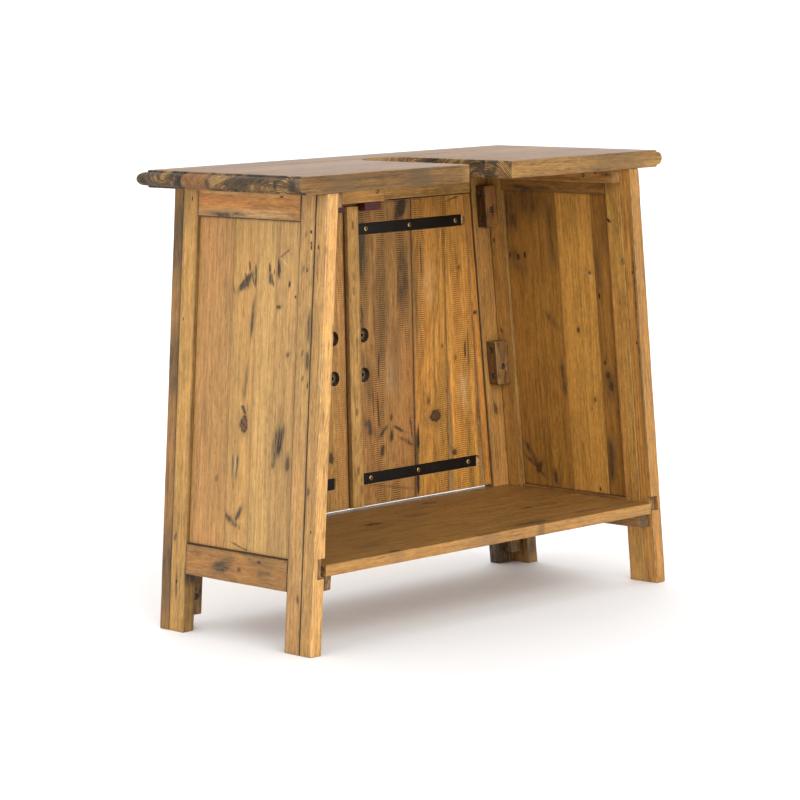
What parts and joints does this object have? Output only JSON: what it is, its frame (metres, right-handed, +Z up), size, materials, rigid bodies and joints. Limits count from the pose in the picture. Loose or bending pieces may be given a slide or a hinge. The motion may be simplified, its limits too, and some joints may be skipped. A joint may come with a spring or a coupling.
{
  "type": "bathroom vanity cabinet",
  "caption": "Splayed recycled-pine bathroom vanity cabinet, open at the back, with a slotted top board for the waste pipe, one shelf and two hinged plank doors.",
  "frame": {"origin": "on the floor, at the middle of the bounding box's underside", "axes": "+Z up; front with the doors faces -Y; open back against the wall faces +Y; +X to the right for someone facing the doors"},
  "size_m": [0.7, 0.325, 0.625],
  "materials": {
    "top_pine": "waxed recycled pine, greyed end grain",
    "frame_pine": "waxed recycled pine with nail holes and knots",
    "door_pine": "waxed recycled pine, saw-marked on the inner face",
    "panel_pine": "waxed recycled pine, planed, knotty",
    "black_iron": "satin black",
    "zinc_screw": "yellow-passivated zinc",
    "brown_plastic": "semi-gloss moulded"
  },
  "bodies": {
    "carcass": {"top_board": "top_pine", "front_stile_left": "frame_pine", "front_stile_right": "frame_pine", "front_top_rail": "frame_pine", "front_bottom_rail": "frame_pine", "side_front_stile_left": "frame_pine", "side_front_stile_right": "frame_pine", "side_rear_stile_left": "frame_pine", "side_rear_stile_right": "frame_pine", "rear_strip_left": "frame_pine", "rear_strip_right": "frame_pine", "side_top_rail_left": "frame_pine", "side_top_rail_right": "frame_pine", "side_bottom_rail_left": "frame_pine", "side_bottom_rail_right": "frame_pine", "side_panel_left": "panel_pine", "side_panel_right": "panel_pine", "shelf_board": "frame_pine", "shelf_bearer_left": "frame_pine", "shelf_bearer_right": "frame_pine", "top_cleat_left": "frame_pine", "top_cleat_right": "frame_pine", "corner_blocks_left": "frame_pine", "corner_blocks_right": "frame_pine", "corner_block_screws_left": "zinc_screw", "corner_block_screws_right": "zinc_screw", "cleat_screws": "zinc_screw", "catch_block": "frame_pine", "catch_block_screws": "zinc_screw", "catch_left": "brown_plastic", "catch_right": "brown_plastic", "hinge_frame_leaves_left": "black_iron", "hinge_frame_leaves_right": "black_iron", "hinge_pins_left": "black_iron", "hinge_pins_right": "black_iron", "hinge_frame_screws_left": "black_iron", "hinge_frame_screws_right": "black_iron"},
    "door_left": {"door_left_planks": "door_pine", "door_left_batten": "frame_pine", "door_left_bars": "black_iron", "door_left_bar_screws": "zinc_screw", "door_left_strike": "zinc_screw", "door_left_pull": "black_iron", "door_left_pull_nuts": "zinc_screw", "door_left_hinge_leaves": "black_iron", "door_left_hinge_screws": "black_iron"},
    "door_right": {"door_right_planks": "door_pine", "door_right_bars": "black_iron", "door_right_bar_screws": "zinc_screw", "door_right_strike": "zinc_screw", "door_right_pull": "black_iron", "door_right_pull_nuts": "zinc_screw", "door_right_hinge_leaves": "black_iron", "door_right_hinge_screws": "black_iron"}
  },
  "joints": [
    {"name": "door_left_hinge", "type": "hinge", "parent": "carcass", "child": "door_left", "pos_m": [-0.26846, -0.1458, 0.34], "axis": [-0.0829, 0, -0.9966], "range_deg": [0, 105]},
    {"name": "door_right_hinge", "type": "hinge", "parent": "carcass", "child": "door_right", "pos_m": [0.27746, -0.1458, 0.34], "axis": [-0.0829, 0, 0.9966], "range_deg": [0, 105]}
  ]
}
